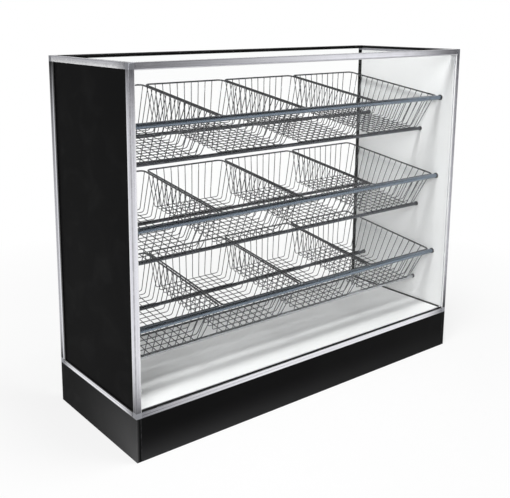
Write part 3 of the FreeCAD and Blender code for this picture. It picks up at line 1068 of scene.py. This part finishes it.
@dataclass
class Enclosure:
    """Glass, gaskets, end panels, white liners and deck.

    Attributes:
        panels: Black outer panels of the ends.
        whites: White boards inside.
        gasket_stand: Height over the bottom rail above which the front gasket is pale.
        gasket_pale: Its colour there.
    """

    panels: Tuple[str, ...] = ("end_panel_left", "end_panel_right")
    whites: Tuple[str, ...] = ("end_liner_left", "end_liner_right", "deck")
    gasket_stand: float = 0.004
    gasket_pale: Colour = (0.78, 0.78, 0.8)

    def dress(self) -> None:
        """Finish every sheet."""
        for finish, nodes in ((BLACK_PANEL, self.panels), (WHITE_BOARD, self.whites)):
            for node in nodes:
                dress([node], finish.material(*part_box(node)))
        dress(["front_glass"], FRONT_GLASS.material())
        dress(["top_glass"], TOP_GLASS.material())
        gasket = FRONT_VINYL.material()
        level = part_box("bottom_rail_front")[1].z + self.gasket_stand
        paint_over(gasket, SIDE, self.gasket_pale, Way=Axis.Z.vector(1.0, 0.0), Level=level)
        dress(["front_gasket"], gasket)
        dress(["top_gasket", "deck_seals"], BLACK_VINYL.material())


@dataclass
class TubeRails:
    """Front rails and support tubes of the rows, with their sockets and screws.

    Attributes:
        rows: Names of the rows.
        bright: The support tube with a painted reflection of the white deck, brighter than the others.
    """

    rows: Tuple[str, ...] = ("top", "middle", "bottom")
    bright: str = "front_support_bottom"

    def dress(self) -> None:
        """Finish the tubes and what holds their ends."""
        dress([f"front_rail_{row}" for row in self.rows], RAIL_CHROME.material(Axis.X))
        supports = [f"{place}_support_{row}" for place in ("front", "rear") for row in self.rows]
        supports.remove(self.bright)
        # The other supports: darker chrome, painted shade
        dress(supports, SHADED_TUBE_CHROME.material(Axis.X))
        # The lowest front support: painted reflection of the white deck
        dress([self.bright], LIT_TUBE_CHROME.material(Axis.X))
        dress(["front_rail_sockets", "support_sockets"], SOCKET_PLASTIC.material())
        dress(["socket_screws"], SCREW_STEEL.material(Axis.X))


@dataclass
class WireBasket:
    """One loose basket of welded round wire, laid on its slope.

    It is worked out square to its rim: x across, y from front to back and z up, from the middle of the rim's
    top front edge.

    Attributes:
        node: CAD node that it stands for, and the body that it rides on.
        tilt: Angle of its slope.
        rim_radius, wire_radius: Radius of the rim wire and of the other wires.
        depth: Depth from the rim's top to the underside.
        front_taper, rear_taper, side_taper: How far each wall leans in.
        front_corner, rear_corner: Radius of the rim's corners.
        side_gap, end_gap: Distance from the rim's sides and ends to the first wire along them.
        grid_sides, grid_ends: The same distances at the bottom.
        bend: Distance over which a wire bends from wall to bottom.
        weld_sink: Share of a wire's thickness by which crossing wires sink into each other.
        lengthwise, crosswise: Number of wires from front to back and from side to side.
        corner_steps, bend_steps: Points on a corner of the rim and on a bend.
        rim_sides, wire_sides: Sides of the rim's section and of a wire's section.
    """

    node: str
    tilt: float
    rim_radius: float = 0.003
    wire_radius: float = 0.0015
    depth: float = 0.145
    front_taper: float = 0.044
    rear_taper: float = 0.025
    side_taper: float = 0.028
    front_corner: float = 0.014
    rear_corner: float = 0.018
    corner_steps: int = 9
    side_gap: float = 0.044
    end_gap: float = 0.010
    grid_sides: float = 0.030
    grid_ends: float = 0.011
    bend: float = 0.009
    bend_steps: int = 5
    weld_sink: float = 0.1
    lengthwise: int = 9
    crosswise: int = 16
    rim_sides: int = 14
    wire_sides: int = 8

    def __post_init__(self) -> None:
        """Take the rim's size and place from the box of the tilted CAD node."""
        low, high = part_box(self.node)
        cos, sin = math.cos(self.tilt), math.sin(self.tilt)
        self.turn = np.array([[1, 0, 0], [0, cos, -sin], [0, sin, cos]])
        self.length = (high.y - low.y - 2 * self.rim_radius * sin) / cos
        self.half = (high.x - low.x) / 2
        self.origin = np.array([(low.x + high.x) / 2, low.y, high.z - self.length * sin])
        self.side = self.half - self.rim_radius
        self.front = self.rim_radius
        self.rear = self.length - self.rim_radius

    def laid(self, points: np.ndarray) -> np.ndarray:
        """Points turned by the tilt about x and moved to the basket's place in the case."""
        return points @ self.turn.T + self.origin

    def rim_loop(self) -> np.ndarray:
        """Centre line of the rim: four quarter circles, c + r (cos a, sin a), joined by straight runs.

        Returns:
            Array of (1, points, 3).
        """
        radius = np.array([self.front_corner, self.rear_corner, self.rear_corner, self.front_corner])[:, None]
        way_x, way_y = np.array([[1, 1, -1, -1], [-1, 1, 1, -1]])[:, :, None]
        angle = np.radians([-90, 0, 90, 180])[:, None] + np.linspace(0, np.pi / 2, self.corner_steps)
        end = np.where(way_y < 0, self.front, self.rear)
        x = way_x * (self.side - radius) + radius * np.cos(angle)
        y = end - way_y * radius + radius * np.sin(angle)
        return np.stack([x, y, np.full_like(x, -self.rim_radius)], axis=-1).reshape(1, -1, 3)

    @staticmethod
    def corner_inset(past: np.ndarray, radius: float) -> np.ndarray:
        """How far a rounded corner draws in: r - sqrt(r² - d²), at a distance d past its straight run."""
        within = np.clip(past, 0, radius)
        return radius - np.sqrt(radius ** 2 - within ** 2)

    @staticmethod
    def wire_corners(*corners: Sequence[Union[np.ndarray, float]]) -> np.ndarray:
        """Corners of many wires, each corner given by its x, y and z as an array or as one number for all."""
        return np.stack([np.stack(np.broadcast_arrays(*corner), axis=-1) for corner in corners], axis=1)

    def lengthwise_wires(self) -> np.ndarray:
        """Corners of the wires that run down the front wall, along the bottom and up the rear wall.

        Returns:
            Array of (wires, 4, 3).
        """
        share = np.linspace(-1, 1, self.lengthwise)
        top = share * (self.side - self.side_gap)
        bottom = share * (self.half - self.side_taper - self.grid_sides)
        front = self.front + self.corner_inset(np.abs(top) - self.side + self.front_corner, self.front_corner)
        rear = self.rear - self.corner_inset(np.abs(top) - self.side + self.rear_corner, self.rear_corner)
        first, last = self.front_taper + self.wire_radius, self.length - self.rear_taper - self.wire_radius
        level = self.wire_radius - self.depth
        return self.wire_corners((top, front, -self.rim_radius), (bottom, first, level),
                                 (bottom, last, level), (top, rear, -self.rim_radius))

    def crosswise_wires(self) -> np.ndarray:
        """Corners of the wires that run down one side wall, over the lengthwise wires and up the other.

        Returns:
            Array of (wires, 4, 3).
        """
        share = np.linspace(0, 1, self.crosswise)
        top = self.front + self.end_gap + share * (self.rear - self.front - 2 * self.end_gap)
        first, last = self.front_taper + self.grid_ends, self.length - self.rear_taper - self.grid_ends
        bottom = first + share * (last - first)
        side = (self.side - self.corner_inset(self.front + self.front_corner - top, self.front_corner)
                - self.corner_inset(top - self.rear + self.rear_corner, self.rear_corner))
        foot = self.half - self.side_taper - self.wire_radius
        level = self.wire_radius * (3 - 2 * self.weld_sink) - self.depth
        return self.wire_corners((-side, top, -self.rim_radius), (-foot, bottom, level),
                                 (foot, bottom, level), (side, top, -self.rim_radius))

    def wires(self, corners: np.ndarray, keel: Point) -> Patch:
        """Round wires through corners, bent at the inner ones."""
        paths = bent_paths(corners, self.bend, self.bend_steps)
        return tubes_along(paths, self.wire_radius, self.wire_sides, keel, closed=False)

    def build(self, material: Material) -> None:
        """Build the basket in the place of its CAD node.

        Args:
            material: Finish of the wire.
        """
        rim = tubes_along(self.rim_loop(), self.rim_radius, self.rim_sides, (0, 0, 1), closed=True)
        along = self.wires(self.lengthwise_wires(), (1, 0, 0))
        across = self.wires(self.crosswise_wires(), (0, 1, 0))
        patch = joined([rim, along, across])
        patch.points = self.laid(patch.points)
        piece = piece_from(f"{self.node}_wires", patch, material, smooth=True)
        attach(piece, self.node)
        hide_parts(self.node)


def baskets() -> List[WireBasket]:
    """One basket for each sliding joint, tilted as the joint's axis is."""
    ways = [(joint["child"], joint["axis"]) for joint in frame["joints"]]
    return [WireBasket(node, math.atan2(axis[2], axis[1])) for node, axis in ways]


# Studio


@dataclass
class Lamp:
    """One square soft box: its place, the point that it shines at, its sides and its power in watts."""

    name: str
    place: Point
    aim: Point
    size: float
    power: float

    def build(self) -> None:
        """Hang the lamp."""
        light = bpy.data.lights.new(self.name, "AREA")
        light.size, light.energy = self.size, self.power
        lamp = bpy.data.objects.new(self.name, light)
        lamp.location = self.place
        beam = Vector(self.aim) - Vector(self.place)
        lamp.rotation_euler = beam.to_track_quat("-Z", "Y").to_euler()
        bpy.context.scene.collection.objects.link(lamp)


@dataclass(frozen=True)
class Shade:
    """One shaded side of the studio, as reflections show it.

    Attributes:
        way: Level direction from the case to it, of length one.
        light: Its brightness.
        edge: Cosines between a direction and the way, where the shade starts and where it is full.
    """

    way: Point
    light: float
    edge: Tuple[float, float]


@dataclass
class Studio:
    """Pale floor, soft light and the photograph's camera.

    Attributes:
        image_width, image_height: Size of the image in pixels.
        focal_length, axis_pixel: Focal length, and the pixel that the camera's axis passes through.
        camera_place: Where the camera stands.
        camera_yaw, camera_pitch: Its turn to the right and its tilt down, in degrees.
        sensor: Width of its sensor in millimetres.
        floor_radius, floor_sides: Radius of the floor, and the number of sides of its outline.
        floor_drop: Gap under the plinth that keeps its underside apart from the floor.
        floor_greys: Darkest and lightest colour of the floor.
        shadow_reach: Distances between which the floor brightens to plain white.
        shadow_white: Share of plain white near the case.
        shade_reach: Distances between which the shades come up on the floor.
        ambient, ambient_tint: Brightness and colour of the light from all round.
        shades: Shaded sides of the studio.
        overhead: Brightness of the ceiling in a reflection.
        overhead_rise: Upward parts of a direction between which the ceiling comes up.
        lamps: The soft boxes.
    """

    image_width: int = 510
    image_height: int = 498
    focal_length: float = 782.417
    axis_pixel: Tuple[float, float] = (219.657, 171.470)
    camera_place: Point = (-1.8364, -2.1507, 1.3373)
    camera_yaw: float = 36.9865
    camera_pitch: float = 11.2827
    sensor: float = 36.0
    floor_radius: float = 40.0
    floor_sides: int = 96
    floor_drop: float = 0.0003
    floor_greys: Tuple[Colour, Colour] = ((0.79, 0.79, 0.79), (0.81, 0.81, 0.81))
    shadow_reach: Tuple[float, float] = (0.8, 2.2)
    shadow_white: float = 0.85
    shade_reach: Tuple[float, float] = (4.0, 15.0)
    ambient: float = 0.12
    ambient_tint: Colour = (0.98, 0.99, 1.0)
    shades: Tuple[Shade, ...] = (
        Shade((0.0, -1.0, 0.0), 0.08, (0.7, 0.89)),
        Shade((0.92, -0.39, 0.0), 0.03, (0.959, 0.972)),
        Shade((-0.5, 0.866, 0.0), 0.58, (0.55, 0.88)))
    overhead: float = 0.06
    overhead_rise: Tuple[float, float] = (0.25, 0.6)
    lamps: Tuple[Lamp, ...] = (
        Lamp("key_soft_box", (-2.9, -2.0, 1.9), (0.5, 0.0, 0.7), size=1.4, power=75.0),
        Lamp("top_soft_box", (-0.2, -0.62, 3.3), (0.0, 0.0, 0.5), size=0.7, power=86.0))

    def camera(self) -> None:
        """Set up the camera: the lens shift moves its axis to the photograph's axis pixel."""
        lens = bpy.data.cameras.new("photo_camera")
        lens.sensor_width = self.sensor
        lens.lens = self.focal_length / self.image_width * self.sensor
        lens.shift_x = (self.image_width / 2 - self.axis_pixel[0]) / self.image_width
        lens.shift_y = (self.axis_pixel[1] - self.image_height / 2) / self.image_width
        camera = bpy.data.objects.new("photo_camera", lens)
        camera.location = self.camera_place
        turn = (math.radians(90 - self.camera_pitch), 0, -math.radians(self.camera_yaw))
        camera.rotation_euler = Euler(turn)
        bpy.context.scene.collection.objects.link(camera)
        bpy.context.scene.camera = camera

    @staticmethod
    def sight(sheet: NodeSheet) -> Socket:
        """1 for rays that see the background: from the camera, off a gloss or through glass."""
        path = sheet.add("ShaderNodeLightPath").outputs
        return sheet.greatest(path["Is Camera Ray"], path["Is Glossy Ray"], path["Is Transmission Ray"])

    @staticmethod
    def reflected(sheet: NodeSheet) -> Socket:
        """1 for rays that came off a gloss at least once, also where they pass through glass after it."""
        return sheet.maths("MINIMUM", sheet.add("ShaderNodeLightPath").outputs["Glossy Depth"], 1.0)

    def level(self, sheet: NodeSheet, way: Socket, far: Feed) -> Socket:
        """Brightness of the studio: lower in a reflection near a shaded way, by the cosine between the two.

        Args:
            sheet: Nodes of the floor or the sky.
            way: Direction from the case, of length one.
            far: Share of the shade that reaches there.

        Returns:
            A value up to 1.
        """
        seen = sheet.maths("MULTIPLY", self.reflected(sheet), far)
        light: Feed = 1.0
        for shade in self.shades:
            cosine = sheet.measure("DOT_PRODUCT", way, shade.way)
            share = sheet.maths("MULTIPLY", seen, sheet.ranged(cosine, 0.0, 1.0, *shade.edge))
            light = sheet.maths("MULTIPLY", sheet.ranged(share, 1.0, shade.light), light)
        return light

    def floor(self) -> None:
        """Lay the floor: a disc that looks white, apart from a soft shadow round the case.

        Its outline is the ring p = r (cos a, sin a).
        """
        angle = np.linspace(0, 2 * np.pi, self.floor_sides, endpoint=False)
        drop = np.full_like(angle, -self.floor_drop)
        ring = np.stack([self.floor_radius * np.cos(angle), self.floor_radius * np.sin(angle), drop], axis=-1)
        material, sheet, shader = start_material("pale floor", Roughness=0.9, Specular_IOR_Level=0.0)
        place = sheet.place()
        shade = MOTTLE.on(sheet, Place=place, Scale=1.5)["Shade"]
        give(sheet, shader, {"Base Color": sheet.blend(shade, *map(tinted, self.floor_greys))})
        distance = sheet.measure("LENGTH", place)
        white = sheet.ranged(distance, self.shadow_white, 1.0, *self.shadow_reach)
        far = sheet.ranged(distance, 0.0, 1.0, *self.shade_reach)
        light = self.level(sheet, sheet.vectors("NORMALIZE", place), far)
        glow = sheet.add("ShaderNodeEmission", {"Strength": light})
        sheet.show(sheet.mixed(sheet.maths("MULTIPLY", self.sight(sheet), white), shader, glow))
        disc = Patch(ring, [np.arange(len(ring))[None]])
        piece_from("studio_floor", disc, material, smooth=False)

    def sky(self) -> None:
        """Light the case from all round: white where it is seen, and shaded on some sides in reflections."""
        world = bpy.data.worlds.new("studio")
        world.use_nodes = True
        bpy.context.scene.world = world
        sheet = NodeSheet(world.node_tree)
        way = sheet.add("ShaderNodeTexCoord").outputs["Generated"]
        rise = sheet.ranged(sheet.parts(way)[2], 0.0, 1.0, *self.overhead_rise)
        ceiling = sheet.maths("MULTIPLY", self.reflected(sheet), rise)
        strength = sheet.ranged(ceiling, self.level(sheet, way, 1.0), self.overhead)
        seen = sheet.add("ShaderNodeBackground", {"Color": tinted((1.0, 1.0, 1.0)), "Strength": strength})
        tint = tinted(self.ambient_tint)
        lit = sheet.add("ShaderNodeBackground", {"Color": tint, "Strength": self.ambient})
        sheet.add("ShaderNodeOutputWorld", {"Surface": sheet.mixed(self.sight(sheet), lit, seen)})

    def build(self) -> None:
        """Set up the whole studio."""
        bpy.context.scene.view_settings.view_transform = "Standard"
        self.camera()
        self.floor()
        self.sky()
        for lamp in self.lamps:
            lamp.build()


def main() -> None:
    """Build every sub-assembly in order, then the studio."""
    logging.basicConfig(level=logging.INFO, format="%(name)s: %(message)s")
    plinth = Plinth()
    plinth.build()
    for part in (plinth, FrameWork(), Enclosure(), TubeRails()):
        part.dress()
    wire = WIRE_PLATE.material(Axis.Y)
    for basket in baskets():
        basket.build(wire)
    Studio().build()


if __name__ == "__main__":
    main()
